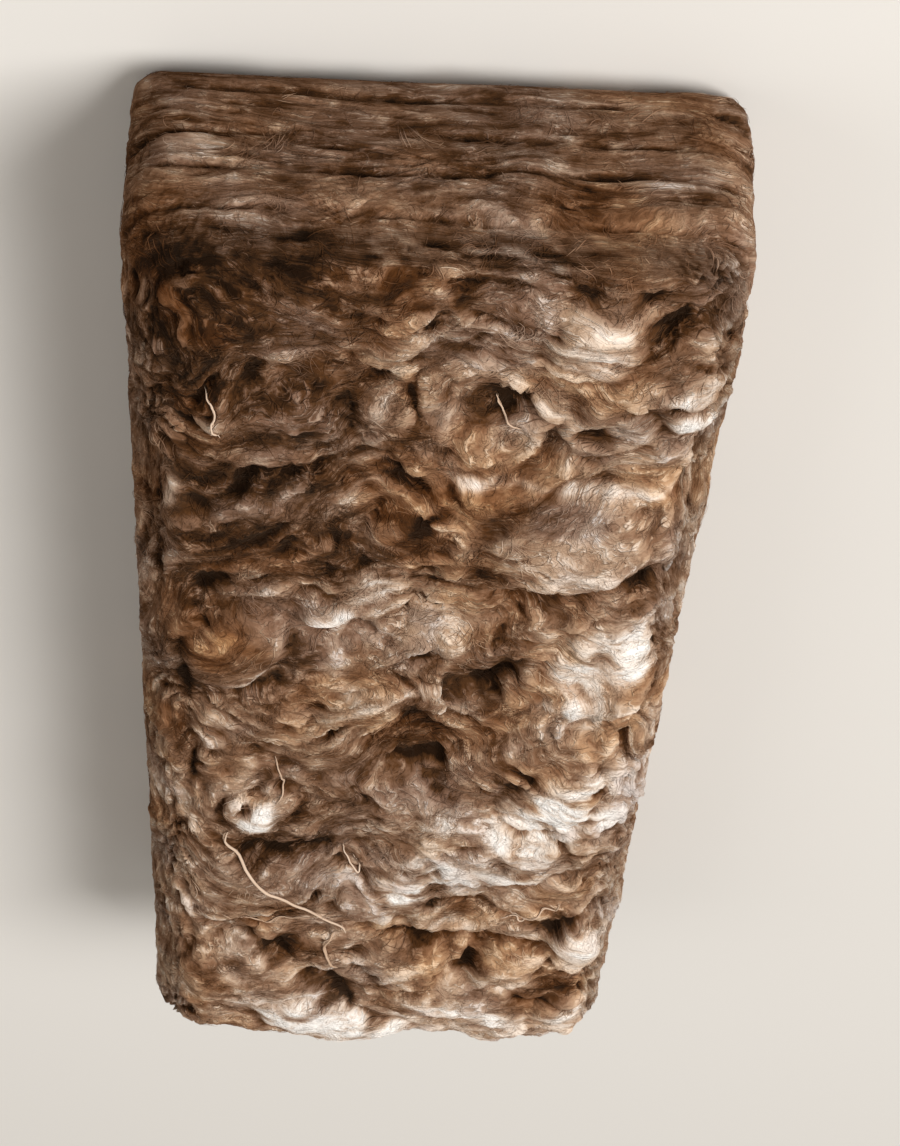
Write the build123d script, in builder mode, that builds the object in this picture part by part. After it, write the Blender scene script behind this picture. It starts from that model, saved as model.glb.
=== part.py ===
from build123d import *

from functools import partial
from math import ceil, cos, exp, hypot, pi, radians, sin, tau
import os

# A glass wool ceiling batt, in millimetres, lying flat on its back with its billowed room face up.
# X runs across it, Y along it, Z up, from the centre of the flat back face. It is one mat of wool:
# slit to width and chopped to length with soft edges, rumpled over its face, and parted along its
# fleeces where the cut sides show them.

# Stock size
batt_length = 1160.0
batt_width = 430.0
batt_thickness = 195.0

# Soft edges: along the slit sides, over the chopped ends, round the back, and the upright corners
side_edge_radius = 58.0
end_edge_radius = 44.0
back_edge_radius = 9.0
corner_radius = 22.0

# The room face: its level, how softly its crests ease off below the full thickness, and its fall
# towards the slit sides
face_level = 189.5
crest_softness = 4.0
crown_drop = 5.0

# Rolls across it, each parted from the next by a crease that wanders over the width
roll_pitch = 188.0
roll_depth = 7.0
crease_softness = 0.5
crease_wander = 34.0
wander_pitch = 520.0
wander_start_across = 0.6
wander_start_along = 1.1
wander_share_along = 0.5

# Lobes that handling has raised on it, from the end at -Y: centre x and y, half length, half width,
# turn of the length from +X in degrees, and height
lobes = (
    (-112, -508, 46, 34, 80, 9), (110, -510, 60, 44, 0, 6), (15, -420, 52, 38, 85, 7),
    (-122, -410, 34, 32, 0, 6), (-184, -440, 32, 30, 90, 7), (112, -400, 52, 42, 20, 6),
    (105, -310, 64, 42, 20, 6), (-112, -265, 70, 54, 75, 12), (10, -285, 54, 34, 80, 6),
    (45, -195, 46, 32, 40, 9), (135, -115, 60, 38, 70, 11), (-32, -165, 48, 38, 60, 6),
    (-155, -90, 72, 44, 80, 11), (20, -42, 54, 26, 25, 9), (128, -15, 54, 40, 30, 6),
    (55, 55, 50, 36, 90, 7), (116, 132, 38, 30, 70, 9), (-132, 100, 52, 38, 60, 10),
    (-82, 190, 72, 44, 150, 9), (120, 265, 70, 48, 60, 7), (8, 275, 46, 40, 40, 6),
    (-62, 310, 44, 32, 0, 7), (-20, 405, 42, 36, 110, 11), (-112, 405, 42, 32, 60, 11),
    (-180, 378, 46, 30, 110, 10), (145, 430, 60, 42, 60, 6), (45, 530, 70, 36, 165, 10),
    (-55, 480, 50, 30, 170, 7), (-118, 530, 44, 30, 170, 8), (-180, 505, 36, 30, 90, 9),
)

# Hollows between them, in the same way, with their depth
hollows = (
    (-165, -515, 30, 24, 30, -12), (-55, -445, 28, 24, 60, -8), (-102, -197, 48, 24, 10, -9),
    (-178, -208, 30, 26, 60, -12), (160, -188, 34, 24, 30, -9), (-65, -87, 34, 24, 40, -9),
    (-8, 20, 46, 30, 80, -14), (76, 199, 44, 24, 5, -8), (-52, 354, 56, 24, 170, -12),
    (-155, 325, 44, 24, 30, -10), (-68, 410, 30, 24, 90, -7), (50, 458, 38, 26, 140, -13),
    (-150, 472, 42, 24, 160, -8), (110, 372, 42, 24, 140, -8),
)

# Fleeces laid up in the mat, and the seams between them that open round the cut sides
fleece_count = 5
seam_opening = 3.0
seam_depth = 6.0
seam_wave_pitch = 480.0
seam_wave_height = 7.0
seam_wave_share_across = 0.6
seam_shift_along = 1.9
seam_shift_across = 2.3
seam_top = 180.0

# Waved surfaces: points to a roll, reach past the batt, and closeness of the fit to the points
points_per_roll = 12
surface_reach = 30.0
surface_fit = 0.4


def roll(turns):
    """One roll a turn: 0 in its crease, which is softened, rising to 1 on its crest."""
    return (hypot(sin(pi * turns), crease_softness) - crease_softness) / (
        hypot(1, crease_softness) - crease_softness
    )


def rumple_height(x, y):
    """Height of all the rumples at one place: each is a bell, a third as high at its half width."""
    total = 0
    for centre_x, centre_y, half_length, half_width, turn, height in lobes + hollows:
        away_x, away_y, turned = x - centre_x, y - centre_y, radians(turn)
        along = (away_x * cos(turned) + away_y * sin(turned)) / half_length
        across = (away_y * cos(turned) - away_x * sin(turned)) / half_width
        total += height * exp(-(along**2) - across**2)
    return total


def face_height(x, y):
    """Height of the room face: rolls and rumples, with a fall to both sides, eased off at the top."""
    wave_across = sin(tau * x / wander_pitch + wander_start_across)
    wave_along = sin(tau * y / wander_pitch + wander_start_along)
    wander = crease_wander * (wave_across + wander_share_along * wave_along)
    crease = 1 - roll((y + wander) / roll_pitch)
    crown = (2 * x / batt_width) ** 2
    depth = batt_thickness - face_level + roll_depth * crease + crown_drop * crown - rumple_height(x, y)
    return batt_thickness - (depth + hypot(depth, crest_softness)) / 2


def seam_height(level, x, y):
    """Height of the seam above fleece number level: the nearer to the flat back, the less it waves."""
    wave_along = sin(tau * y / seam_wave_pitch + seam_shift_along * level)
    wave_across = sin(tau * x / seam_wave_pitch + seam_shift_across * level)
    top_of_seams = seam_top + seam_wave_height * (wave_along + seam_wave_share_across * wave_across)
    return top_of_seams * level / fleece_count


def waved_surface(height):
    """A smooth surface through height(x, y), worked out on a grid that runs past the batt all round."""
    half_width = batt_width / 2 + surface_reach
    half_length = batt_length / 2 + surface_reach
    columns = ceil(2 * half_width * points_per_roll / roll_pitch)
    rows = ceil(2 * half_length * points_per_roll / roll_pitch)
    xs = [half_width * (2 * i / columns - 1) for i in range(columns + 1)]
    ys = [half_length * (2 * j / rows - 1) for j in range(rows + 1)]
    points = [[Vector(x, y, height(x, y)) for x in xs] for y in ys]
    return Face.make_surface_from_array_of_points(points, tol=surface_fit)


# The gaps between fleeces: thin waved sheets of air, left only as a rim round the cut sides
with BuildPart() as seams:
    for level in range(1, fleece_count):
        extrude(waved_surface(partial(seam_height, level)), amount=seam_opening, dir=(0, 0, 1))
    with BuildSketch():
        RectangleRounded(batt_width - 2 * seam_depth, batt_length - 2 * seam_depth, corner_radius)
    extrude(amount=batt_thickness, mode=Mode.SUBTRACT)

with BuildPart() as glass_wool_batt:
    # Slit to width: the section across the batt, with soft edges to its face and back
    with BuildSketch(Plane.XZ) as slit_section:
        with Locations((0, batt_thickness / 2)):
            Rectangle(batt_width, batt_thickness)
        fillet(slit_section.vertices().group_by(Axis.Y)[-1], radius=side_edge_radius)
        fillet(slit_section.vertices().group_by(Axis.Y)[0], radius=back_edge_radius)
    extrude(amount=batt_length / 2, both=True)

    # Chopped to length: the section along the batt, with soft edges of its own
    with BuildSketch(Plane.YZ) as chopped_section:
        with Locations((0, batt_thickness / 2)):
            Rectangle(batt_length, batt_thickness)
        fillet(chopped_section.vertices().group_by(Axis.Y)[-1], radius=end_edge_radius)
        fillet(chopped_section.vertices().group_by(Axis.Y)[0], radius=back_edge_radius)
    extrude(amount=batt_width / 2, both=True, mode=Mode.INTERSECT)

    # Upright corners
    with BuildSketch():
        RectangleRounded(batt_width, batt_length, corner_radius)
    extrude(amount=batt_thickness, mode=Mode.INTERSECT)

    # The room face: all that stands above its rolls and rumples is taken off
    extrude(waved_surface(face_height), amount=batt_thickness, dir=(0, 0, 1), mode=Mode.SUBTRACT)

    # The seams between the fleeces
    add(seams.part, mode=Mode.SUBTRACT)

glass_wool_batt.part.label = "glass_wool_batt"

os.makedirs("parts", exist_ok=True)
export_step(glass_wool_batt.part, "parts/glass_wool_batt.step")
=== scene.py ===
"""Dresses the ceiling insulation batt: brown glass wool, rumpled, torn and combed by handling.

The mat is one closed surface. Its fibres lie along a flow that swirls over the room face and runs
at a low slant round the cut sides, and everything finer follows that flow: lumps, ridges, locks,
fibres and colour. Lengths are in metres, but for the tables of marks and threads, whose comments
say millimetres.
"""
from functools import partial
from math import radians, tau
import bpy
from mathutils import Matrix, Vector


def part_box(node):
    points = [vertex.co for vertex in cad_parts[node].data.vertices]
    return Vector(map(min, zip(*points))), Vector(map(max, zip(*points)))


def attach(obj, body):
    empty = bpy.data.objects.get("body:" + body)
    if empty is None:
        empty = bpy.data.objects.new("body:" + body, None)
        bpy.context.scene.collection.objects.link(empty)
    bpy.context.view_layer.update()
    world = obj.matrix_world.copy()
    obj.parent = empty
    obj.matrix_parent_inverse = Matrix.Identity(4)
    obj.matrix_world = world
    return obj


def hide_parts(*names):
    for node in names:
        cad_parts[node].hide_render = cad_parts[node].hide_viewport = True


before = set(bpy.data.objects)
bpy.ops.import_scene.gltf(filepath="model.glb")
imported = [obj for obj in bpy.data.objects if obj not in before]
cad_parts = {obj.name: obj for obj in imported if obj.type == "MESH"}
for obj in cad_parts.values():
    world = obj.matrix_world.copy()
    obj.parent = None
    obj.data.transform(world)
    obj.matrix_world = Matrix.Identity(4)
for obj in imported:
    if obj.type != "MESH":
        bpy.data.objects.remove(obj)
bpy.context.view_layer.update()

from types import SimpleNamespace

import bpy
import numpy as np
from mathutils import Quaternion, Vector

bl_info = {
    "name": "Glass Wool Batt",
    "version": (1, 0, 0),
    "blender": (4, 5, 0),
    "location": "View3D > Sidebar > Batt",
    "description": "Makes a rumpled brown glass wool ceiling batt from its packed solid",
    "category": "Add Mesh",
}

MM = 0.001
NODE = "glass_wool_batt"
LOW, HIGH = (np.array(corner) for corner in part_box(NODE))


def linear(hex_colour):
    """An sRGB hex colour as linear red, green and blue."""
    srgb = np.array([int(hex_colour[i : i + 2], 16) for i in (1, 3, 5)]) / 255
    return tuple(np.where(srgb <= 0.04045, srgb / 12.92, ((srgb + 0.055) / 1.055) ** 2.4))


class BattMat(bpy.types.PropertyGroup):
    """Sizes of the mat and of its rumples."""

    spacing: bpy.props.FloatProperty(
        name="Spacing", description="Between mesh points on the room face", default=3.3 * MM, unit="LENGTH"
    )
    side_radius: bpy.props.FloatProperty(
        name="Side edge", description="Round edge along the slit sides", default=55 * MM, unit="LENGTH"
    )
    end_radius: bpy.props.FloatProperty(
        name="End edge", description="Round edge over the chopped ends", default=42 * MM, unit="LENGTH"
    )
    back_radius: bpy.props.FloatProperty(
        name="Back edge", description="Round edge of the flat back", default=12 * MM, unit="LENGTH"
    )
    lump: bpy.props.FloatProperty(
        name="Lumps", description="Across one of the large lumps", default=70 * MM, unit="LENGTH"
    )
    lump_height: bpy.props.FloatProperty(
        name="Lump height", description="From crease to crest", default=6.5 * MM, unit="LENGTH"
    )
    rough: bpy.props.FloatProperty(
        name="Roughness", description="Height of each finer set of lumps, as a share of the coarser set's",
        default=0.72, min=0, max=1, subtype="FACTOR"
    )
    seed: bpy.props.IntProperty(name="Seed", description="Picks another batt of the same kind", default=11)


class BattFibres(bpy.types.PropertyGroup):
    """Sizes of the loose fibres in each layer: long locks, short locks, fuzz and fine fuzz."""

    bundles: bpy.props.IntVectorProperty(
        name="Bundles", description="How many bundles of fibres lie in each layer", size=4,
        default=(630, 1250, 7800, 7800), min=1
    )
    length: bpy.props.FloatVectorProperty(
        name="Length", description="Of a long fibre of each layer", size=4,
        default=(34 * MM, 22 * MM, 13 * MM, 11 * MM), unit="LENGTH"
    )
    width: bpy.props.FloatVectorProperty(
        name="Width", description="Of a thick fibre of each layer", size=4,
        default=(1.0 * MM, 0.85 * MM, 0.75 * MM, 0.65 * MM), unit="LENGTH"
    )
    lift: bpy.props.FloatVectorProperty(
        name="Lift", description="How far a fibre of each layer may rise off the mat", size=4,
        default=(2.5 * MM, 2.5 * MM, 1.2 * MM, 1.2 * MM), unit="LENGTH"
    )


class BattColours(bpy.types.PropertyGroup):
    """Colours of binder-dyed glass wool, from the painted shade of its hollows to its torn pale wisps."""

    # Painted shade: the near black that the hollows and folds are darkened to
    hollow: bpy.props.FloatVectorProperty(
        name="Hollow", description="In the deep creases", subtype="COLOR", default=linear("#1e1006")
    )
    dark: bpy.props.FloatVectorProperty(
        name="Dark", description="Dense wool", subtype="COLOR", default=linear("#4c2f18")
    )
    middle: bpy.props.FloatVectorProperty(
        name="Middle", description="Most of the wool", subtype="COLOR", default=linear("#7b5b45")
    )
    # Tan and light are reached partly by painted highlight, where the tone is lifted on crests and ridges
    tan: bpy.props.FloatVectorProperty(
        name="Tan", description="Loose wool on the crests", subtype="COLOR", default=linear("#a98b71")
    )
    light: bpy.props.FloatVectorProperty(
        name="Light", description="Highest crests of loose wool", subtype="COLOR", default=linear("#d7c2ae")
    )
    pale: bpy.props.FloatVectorProperty(
        name="Pale", description="Torn wisps with little binder", subtype="COLOR", default=linear("#eee9e3")
    )
    # Torn wool in painted shade: the pale ramp's low end, where the hollows' painted shade and darker wool
    # lower the tone
    torn_shade: bpy.props.FloatVectorProperty(
        name="Worn", description="The hollows of torn wool", subtype="COLOR", default=linear("#957862")
    )


class BattStage(bpy.types.PropertyGroup):
    """The camera, lights and floor."""

    height: bpy.props.FloatProperty(
        name="Height", description="Of the camera over the room face", default=1.25, unit="LENGTH"
    )
    lens: bpy.props.FloatProperty(
        name="Lens", description="Focal length on a 36 mm wide picture", default=116.0, unit="CAMERA"
    )
    key: bpy.props.FloatProperty(name="Key light", description="Power", default=1050.0, unit="POWER")
    fill: bpy.props.FloatProperty(name="Fill light", description="Power", default=48.0, unit="POWER")
    sky: bpy.props.FloatProperty(name="Room light", description="Strength of the even light", default=0.42)
    room: bpy.props.FloatVectorProperty(
        name="Room colour", description="Of the even light", subtype="COLOR", default=linear("#f3ece3")
    )
    floor: bpy.props.FloatVectorProperty(
        name="Floor", description="Colour of its matt paint", subtype="COLOR", default=linear("#cfcbc5")
    )


GROUPS = {
    "batt_mat": BattMat, "batt_fibres": BattFibres, "batt_colours": BattColours, "batt_stage": BattStage,
}


# Noise

def noise(points, size, seed):
    """Gradient noise, about -1 to 1, one lump or hollow to each size.

    Each whole-numbered corner of space has a random slope, picked by mixing its three numbers and
    the seed. At a point, the eight corners' slopes times the distance to them are blended by the
    curve 6t^5 - 15t^4 + 10t^3, and the sum is made half as large again.
    """
    place = np.asarray(points) / size
    cell = np.floor(place).astype(np.int64)
    inside = place - cell
    blend = inside ** 3 * (inside * (inside * 6 - 15) + 10)
    total = np.zeros(place.shape[:-1])
    for corner in np.ndindex(2, 2, 2):
        i, j, k = np.moveaxis(cell + corner, -1, 0)
        mixed = (i * 374761393 + j * 668265263 + k * 1103515245 + seed * 97531) & 0xFFFFFFFF
        mixed = ((mixed ^ (mixed >> 13)) * 1274126177) & 0xFFFFFFFF
        mixed = mixed ^ (mixed >> 16)
        slope = np.stack([mixed & 1023, (mixed >> 10) & 1023, (mixed >> 20) & 1023], -1) / 511.5 - 1
        weight = np.prod(np.where(corner, blend, 1 - blend), -1)
        total += weight * np.sum(slope * (inside - corner), -1)
    return total * 1.5


def puffs(points, size, seed, softness):
    """Rounded lumps parted by narrow creases, 0 in a crease and about 1 on a crest.

    It is the root of the squares of 2.2 times the noise and of the softness, less the softness.
    """
    return (np.hypot(noise(points, size, seed) * 2.2, softness) - softness).clip(0, 1.3)


def smooth(low, high, value):
    """0 on low's side, 1 past high, and the curve 3t^2 - 2t^3 between them."""
    share = np.clip((value - low) / (high - low), 0, 1)
    return share * share * (3 - 2 * share)


# The mat's grid: rows run along the batt from pole to pole, columns run round its section

EDGE_STEPS = 24  # Points that a rounded edge of the section is worked out from
FINE_STEPS = 6000  # Points that the section is measured along with
SIDE_SPACING, BACK_SPACING = 1.3, 7.0  # Spacing on the sides and the back, to that on the room face
END_ROWS = 16  # Rows over an end's round edge, and as many again over its flat
POLE_SHARE = 0.02  # Height of the last ring round a pole, to the section's


def section_loop(mat):
    """The section across the batt as a closed loop of x and z, with its points crowded on the room face.

    It is a rounded rectangle walked anticlockwise from the middle of the back. The density of points
    is 1 over the wanted spacing, and points stand at even steps of its running total.
    """
    half, top = HIGH[0], HIGH[2]
    low_r, high_r = mat.back_radius, mat.side_radius
    turn = np.linspace(0, tau / 4, EDGE_STEPS)
    right = np.concatenate([
        [[0, 0]],
        np.stack([half - low_r + low_r * np.sin(turn), low_r - low_r * np.cos(turn)], -1),
        np.stack([half - high_r + high_r * np.cos(turn), top - high_r + high_r * np.sin(turn)], -1),
        [[0, top]],
    ])
    loop = np.concatenate([right, right[-2::-1] * (-1, 1)])
    length = np.concatenate([[0], np.cumsum(np.hypot(*np.diff(loop, axis=0).T))])
    fine = np.linspace(0, length[-1], FINE_STEPS)
    x, z = (np.interp(fine, length, loop[:, axis]) for axis in (0, 1))
    below = np.where(z > low_r * 0.6, SIDE_SPACING, BACK_SPACING)
    wanted = mat.spacing * np.where(z > top - high_r, 1.0, below)
    total = np.concatenate([[0], np.cumsum(np.diff(fine) / wanted[1:])])
    at = np.linspace(0, total[-1], int(total[-1]), endpoint=False)
    return np.stack([np.interp(at, total, x), np.interp(at, total, z)], -1)


def mat_grid(mat):
    """The plain mat, before it is rumpled: rows by columns of x, y and z.

    Along the batt each row is the section loop. Over an end the loop first shrinks by a quarter
    round, and then shrinks about the middle of the end face down to a small ring at its pole.
    """
    loop = section_loop(mat)
    half_width, half_length, middle = HIGH[0], HIGH[1], HIGH[2] / 2
    radius = mat.end_radius
    flat = half_length - radius
    straight = np.linspace(-1, 1, int(2 * flat / mat.spacing)) * flat
    turn = np.linspace(0, tau / 4, END_ROWS + 1)[1:]
    inset = np.concatenate([radius * (1 - np.cos(turn)), np.linspace(radius, middle, END_ROWS + 1)[1:]])
    bulge = np.concatenate([radius * np.sin(turn), np.full(END_ROWS, radius)])
    z_share = 1 - inset / middle
    z_share[-1] = POLE_SHARE
    on_flat = z_share / z_share[END_ROWS - 1] * (half_width - radius) / half_width
    x_share = np.where(inset <= radius, (half_width - inset) / half_width, on_flat)
    y = np.concatenate([-flat - bulge[::-1], straight, flat + bulge])
    x_share, z_share = (
        np.concatenate([share[::-1], np.ones(len(straight)), share]) for share in (x_share, z_share)
    )
    grid = np.empty((len(y), len(loop), 3))
    grid[..., 0] = loop[None, :, 0] * x_share[:, None]
    grid[..., 1] = y[:, None]
    grid[..., 2] = middle + (loop[None, :, 1] - middle) * z_share[:, None]
    return grid


def slopes(field):
    """How a grid of values changes from row to row, and from column to column round the loop."""
    by_row = np.gradient(field, axis=0)
    by_column = (np.roll(field, -1, 1) - np.roll(field, 1, 1)) / 2
    return by_row, by_column


def metric(row_step, column_step):
    """The surface's metric: the squares and product of its steps, and the square of the area they span."""
    pairs = ((row_step, row_step), (row_step, column_step), (column_step, column_step))
    e, f, g = (np.sum(a * b, -1) for a, b in pairs)
    return e, f, g, np.maximum(e * g - f * f, 1e-16)


def unit(vectors):
    """The vectors, each made one long."""
    return vectors / np.maximum(np.linalg.norm(vectors, axis=-1, keepdims=True), 1e-12)


def outward(grid):
    """The normal at each point: the cross product of the steps along the rows and round the loop."""
    return unit(np.cross(*slopes(grid)))


def uphill(grid, field):
    """The slope of a field over the surface, as a vector that lies in the surface.

    The change by row and by column is turned into a vector with the surface's metric.
    """
    row_step, column_step = slopes(grid)
    by_row, by_column = slopes(field)
    e, f, g, area = metric(row_step, column_step)
    return (((g * by_row - f * by_column) / area)[..., None] * row_step
            + ((e * by_column - f * by_row) / area)[..., None] * column_step)


def blurred(field, steps):
    """The field averaged with its neighbours, steps times over."""
    for _ in range(steps):
        field = (field + np.roll(field, 1, 1) + np.roll(field, -1, 1)) / 3
        field = np.concatenate([field[:1], (field[:-2] + field[1:-1] + field[2:]) / 3, field[-1:]])
    return field


# The flow of the fibres

# Swirls in it: how large each is, and how far it carries the fibres
SWIRLS = ((260 * MM, 160 * MM), (110 * MM, 80 * MM), (55 * MM, 34 * MM), (26 * MM, 12 * MM))


def flow_fields(grid, seed):
    """Two lengths that mark the fibres: along them, and across them. A fibre is a line of even across.

    On the room face the fibres run across the batt, and the swirls warp them, with less than a sixth
    of their reach by the end at +Y and less than a third of it down the sides. Down the sides the
    height is added three-fold, so that the fibres slant by about 18 degrees, and over the end at +Y it
    is taken away instead, so that across goes on growing.
    """
    x, y, z = np.moveaxis(grid, -1, 0)
    down = np.minimum(z - (HIGH[2] - 0.012), 0)
    across = y + 3 * down * (1 - 2 * smooth(HIGH[1] - 0.06, HIGH[1] - 0.01, y))
    calm = (1 - 0.85 * smooth(0.26, 0.42, y)) * (1 - 0.7 * smooth(-0.01, -0.06, down))
    for size, reach in SWIRLS:
        across = across + calm * reach * noise(grid, size, seed + round(size / MM))
    along = x + y * smooth(0, -0.03, down) + 0.05 * noise(grid, 0.15, seed + 5)
    return along, across


def flow_points(along, across, stretch, layer):
    """Points for noise that is stretched along the fibres. Each layer lies apart, so no two look alike."""
    return np.stack([along / stretch, across, np.full_like(along, layer * 7.3)], -1)


# The marks on this batt's room face, in millimetres: centre x and y, half length, half width, turn of
# the length from +X in degrees, and height, depth or strength

# Lobes and hollows that the solid has too
LOBES = (
    (-112, -508, 46, 34, 80, 9), (110, -510, 60, 44, 0, 6), (15, -420, 52, 38, 85, 7),
    (-122, -410, 34, 32, 0, 6), (-184, -440, 32, 30, 90, 7), (112, -400, 52, 42, 20, 6),
    (105, -310, 64, 42, 20, 6), (-112, -265, 70, 54, 75, 12), (10, -285, 54, 34, 80, 6),
    (45, -195, 46, 32, 40, 9), (135, -115, 60, 38, 70, 11), (-32, -165, 48, 38, 60, 6),
    (-155, -90, 72, 44, 80, 11), (20, -42, 54, 26, 25, 9), (128, -15, 54, 40, 30, 6),
    (55, 55, 50, 36, 90, 7), (116, 132, 38, 30, 70, 9), (-132, 100, 52, 38, 60, 10),
    (-82, 190, 72, 44, 150, 9), (120, 265, 70, 48, 60, 7), (8, 275, 46, 40, 40, 6),
    (-62, 310, 44, 32, 0, 7), (-20, 405, 42, 36, 110, 11), (-112, 405, 42, 32, 60, 11),
    (-180, 378, 46, 30, 110, 10), (145, 430, 60, 42, 60, 6), (45, 530, 70, 36, 165, 10),
    (-55, 480, 50, 30, 170, 7), (-118, 530, 44, 30, 170, 8), (-180, 505, 36, 30, 90, 9),
)
HOLLOWS = (
    (-165, -515, 30, 24, 30, -12), (-55, -445, 28, 24, 60, -8), (-102, -197, 48, 24, 10, -9),
    (-178, -208, 30, 26, 60, -12), (160, -188, 34, 24, 30, -9), (-65, -87, 34, 24, 40, -9),
    (-8, 20, 46, 30, 80, -14), (76, 199, 44, 24, 5, -8), (-52, 354, 56, 24, 170, -12),
    (-155, 325, 44, 24, 30, -10), (-68, 410, 30, 24, 90, -7), (50, 458, 38, 26, 140, -13),
    (-150, 472, 42, 24, 160, -8), (110, 372, 42, 24, 140, -8),
)

# Sharp creases that are too narrow for the solid
FOLDS = (
    (-165, -513, 26, 12, 30, 8), (-58, -436, 18, 10, 60, 6), (-112, -412, 13, 9, 0, 8),
    (-178, -213, 24, 12, 60, 8), (-98, -204, 50, 9, 8, 9), (160, -187, 24, 9, 30, 7),
    (-65, -87, 26, 10, 40, 7), (-6, -20, 12, 26, 0, 6), (-14, 40, 34, 12, 20, 7), (98, 200, 52, 9, 2, 9),
    (-54, 358, 66, 13, 172, 11), (-160, 330, 50, 7, 30, 8), (-75, 408, 9, 26, 0, 8),
    (62, 452, 14, 28, 35, 11), (32, 474, 30, 9, 130, 8), (-178, -47, 13, 10, 0, 8),
    (110, 385, 40, 7, 140, 7), (182, -60, 10, 26, 0, 7), (-150, 480, 40, 7, 160, 7),
    (0, -300, 20, 9, 40, 6), (175, 60, 30, 8, 80, 7), (-184, -441, 26, 5, 2, 6), (10, -442, 30, 5, 88, 5),
)

# Small lumps with steep sides, and rims that curl up round a dip
TUFTS = (
    (116, 135, 21, 13, 85, 11), (60, -178, 24, 13, 30, 8), (-185, -455, 26, 8, 0, 7),
    (-185, -423, 24, 7, 0, 7), (-180, 365, 38, 16, 120, 6), (50, 514, 66, 24, 170, 6),
    (138, -118, 40, 24, 70, 2),
)
RINGS = ((-118, -410, 24, 19, 0, 7), (-105, -305, 36, 27, 10, 3))

# Where the wool is torn and pale, with how pale; where it is warmer, or cooler where that is below
# nought; and where it is darker, mostly painted shade and in places darker wool, or lighter where
# that is below nought
PALE = (
    (-112, -505, 40, 24, 80, 0.5), (-185, -455, 26, 7, 0, 0.85), (-185, -423, 24, 6, 0, 0.85),
    (-122, -410, 27, 24, 0, 0.5), (35, -440, 30, 9, 80, 0.5), (-10, -425, 26, 8, 90, 0.5),
    (-90, -340, 110, 6, 175, 0.6), (-120, -262, 46, 34, 75, 0.2), (58, -176, 24, 13, 30, 0.75),
    (30, -215, 26, 12, 50, 0.6), (112, -78, 34, 6, 20, 0.9), (-178, -145, 34, 24, 80, 0.8),
    (-128, -50, 28, 22, 70, 1.1), (-155, -100, 66, 38, 80, 0.8), (18, -52, 44, 8, 28, 0.8),
    (116, 134, 26, 13, 85, 1.6), (-134, 118, 54, 30, 60, 1.4), (-92, 168, 54, 12, 140, 1.3),
    (-60, 140, 40, 16, 10, 0.7), (-12, 266, 26, 13, 30, 1.2), (-48, 228, 40, 22, 160, 0.9),
    (-105, 238, 56, 26, 160, 0.5), (-180, 365, 44, 22, 120, 0.7), (50, 516, 70, 30, 170, 1.6),
    (-100, 508, 36, 15, 170, 0.9), (-182, 500, 18, 22, 90, 1.0), (-60, 320, 38, 20, 0, 0.6),
    (120, 400, 60, 16, 130, 0.4), (-50, 478, 70, 9, 170, 0.5), (190, -300, 10, 60, 0, 0.5),
    (-185, 130, 16, 40, 0, 0.6), (-120, 350, 50, 9, 20, 0.6),
)
WARM = (
    (135, -118, 52, 30, 70, 1.5), (-20, 405, 34, 28, 110, 0.4), (150, -520, 60, 50, 0, 0.8),
    (-20, -300, 60, 40, 0, 0.7), (119, 108, 14, 9, 0, 1.5), (-100, 395, 30, 24, 60, 0.3),
    (-106, -308, 30, 22, 5, -2.5), (105, -300, 60, 60, 0, -0.8), (95, -510, 26, 34, 60, -1.2),
    (-35, -45, 40, 30, 20, -1.2), (45, -255, 22, 14, 0, -1.2), (20, 420, 30, 40, 60, -1.0),
    (130, 90, 50, 50, 0, -0.6), (115, 250, 70, 55, 0, -0.8), (-10, 110, 60, 40, 0, -0.7),
    (48, 506, 66, 26, 170, -1.2), (-190, 130, 20, 60, 0, -0.8), (-110, 194, 44, 24, 150, 0.6),
    (135, 385, 60, 46, 30, -0.7),
)
SHADE = (
    (130, -390, 95, 200, 10, 1.8), (20, -560, 160, 50, 0, 0.8), (-20, 60, 60, 60, 0, 0.6),
    (110, 230, 70, 60, 0, 0.5), (142, 118, 28, 8, 85, 1.6), (121, 122, 22, 9, 85, -1.6),
    (-60, -230, 60, 14, 15, 0.8), (-106, -308, 30, 22, 5, 0.9), (-20, 405, 34, 28, 110, -0.7),
    (-105, 400, 34, 28, 60, -0.6), (-112, 192, 40, 20, 150, 0.5), (135, 385, 60, 46, 30, 0.7),
)


def marks(places, x, y):
    """For each mark, how far every point is from its centre, 1 at its rim, and its height or strength.

    The rim is an ellipse, turned.
    """
    for centre_x, centre_y, long, wide, turn, size in places:
        u, v = x - centre_x * MM, y - centre_y * MM
        c, s = np.cos(radians(turn)), np.sin(radians(turn))
        yield np.hypot((u * c + v * s) / (long * MM), (v * c - u * s) / (wide * MM)), size


# The rumpled mat

ROLL_PITCH, ROLL_WANDER, WANDER_PITCH = 188 * MM, 34 * MM, 520 * MM
ROLL_DEPTH, CROWN_DROP, FACE_DEPTH = 7 * MM, 5 * MM, 6 * MM
CREASE_SOFTNESS, CREST_SOFTNESS = 0.5, 4 * MM
PROUD, INSIDE = 12 * MM, 6 * MM  # How far wool may stand out of the solid's box, and eases off from
LUMP_STRETCH = (0, 1.5, 1.8, 1.8, 1.6)  # Of each set of lumps along the fibres, 0 where it ignores them
LUMP_STEP = 1.9  # Size of each set of lumps to the next finer one
LUMP_LEAN = 0.42  # How far a crest leans, to its height
FLEECES, SEAM_TOP, SEAM_WAVE, SEAM_PITCH = 5, 180 * MM, 7 * MM, 480 * MM
SEAM_MIDDLE, SEAM_SPREAD = 1.5 * MM, 2.8 * MM
RIDGE_HEIGHT, GROOVE_DEPTH = 3.8, 4.0  # Of the ridges along the fibres, in millimetres
RIDGES = ((85 * MM, 0.10, 61), (55 * MM, 0.14, 62), (34 * MM, 0.2, 63))  # Size, half width in it, seed


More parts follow.
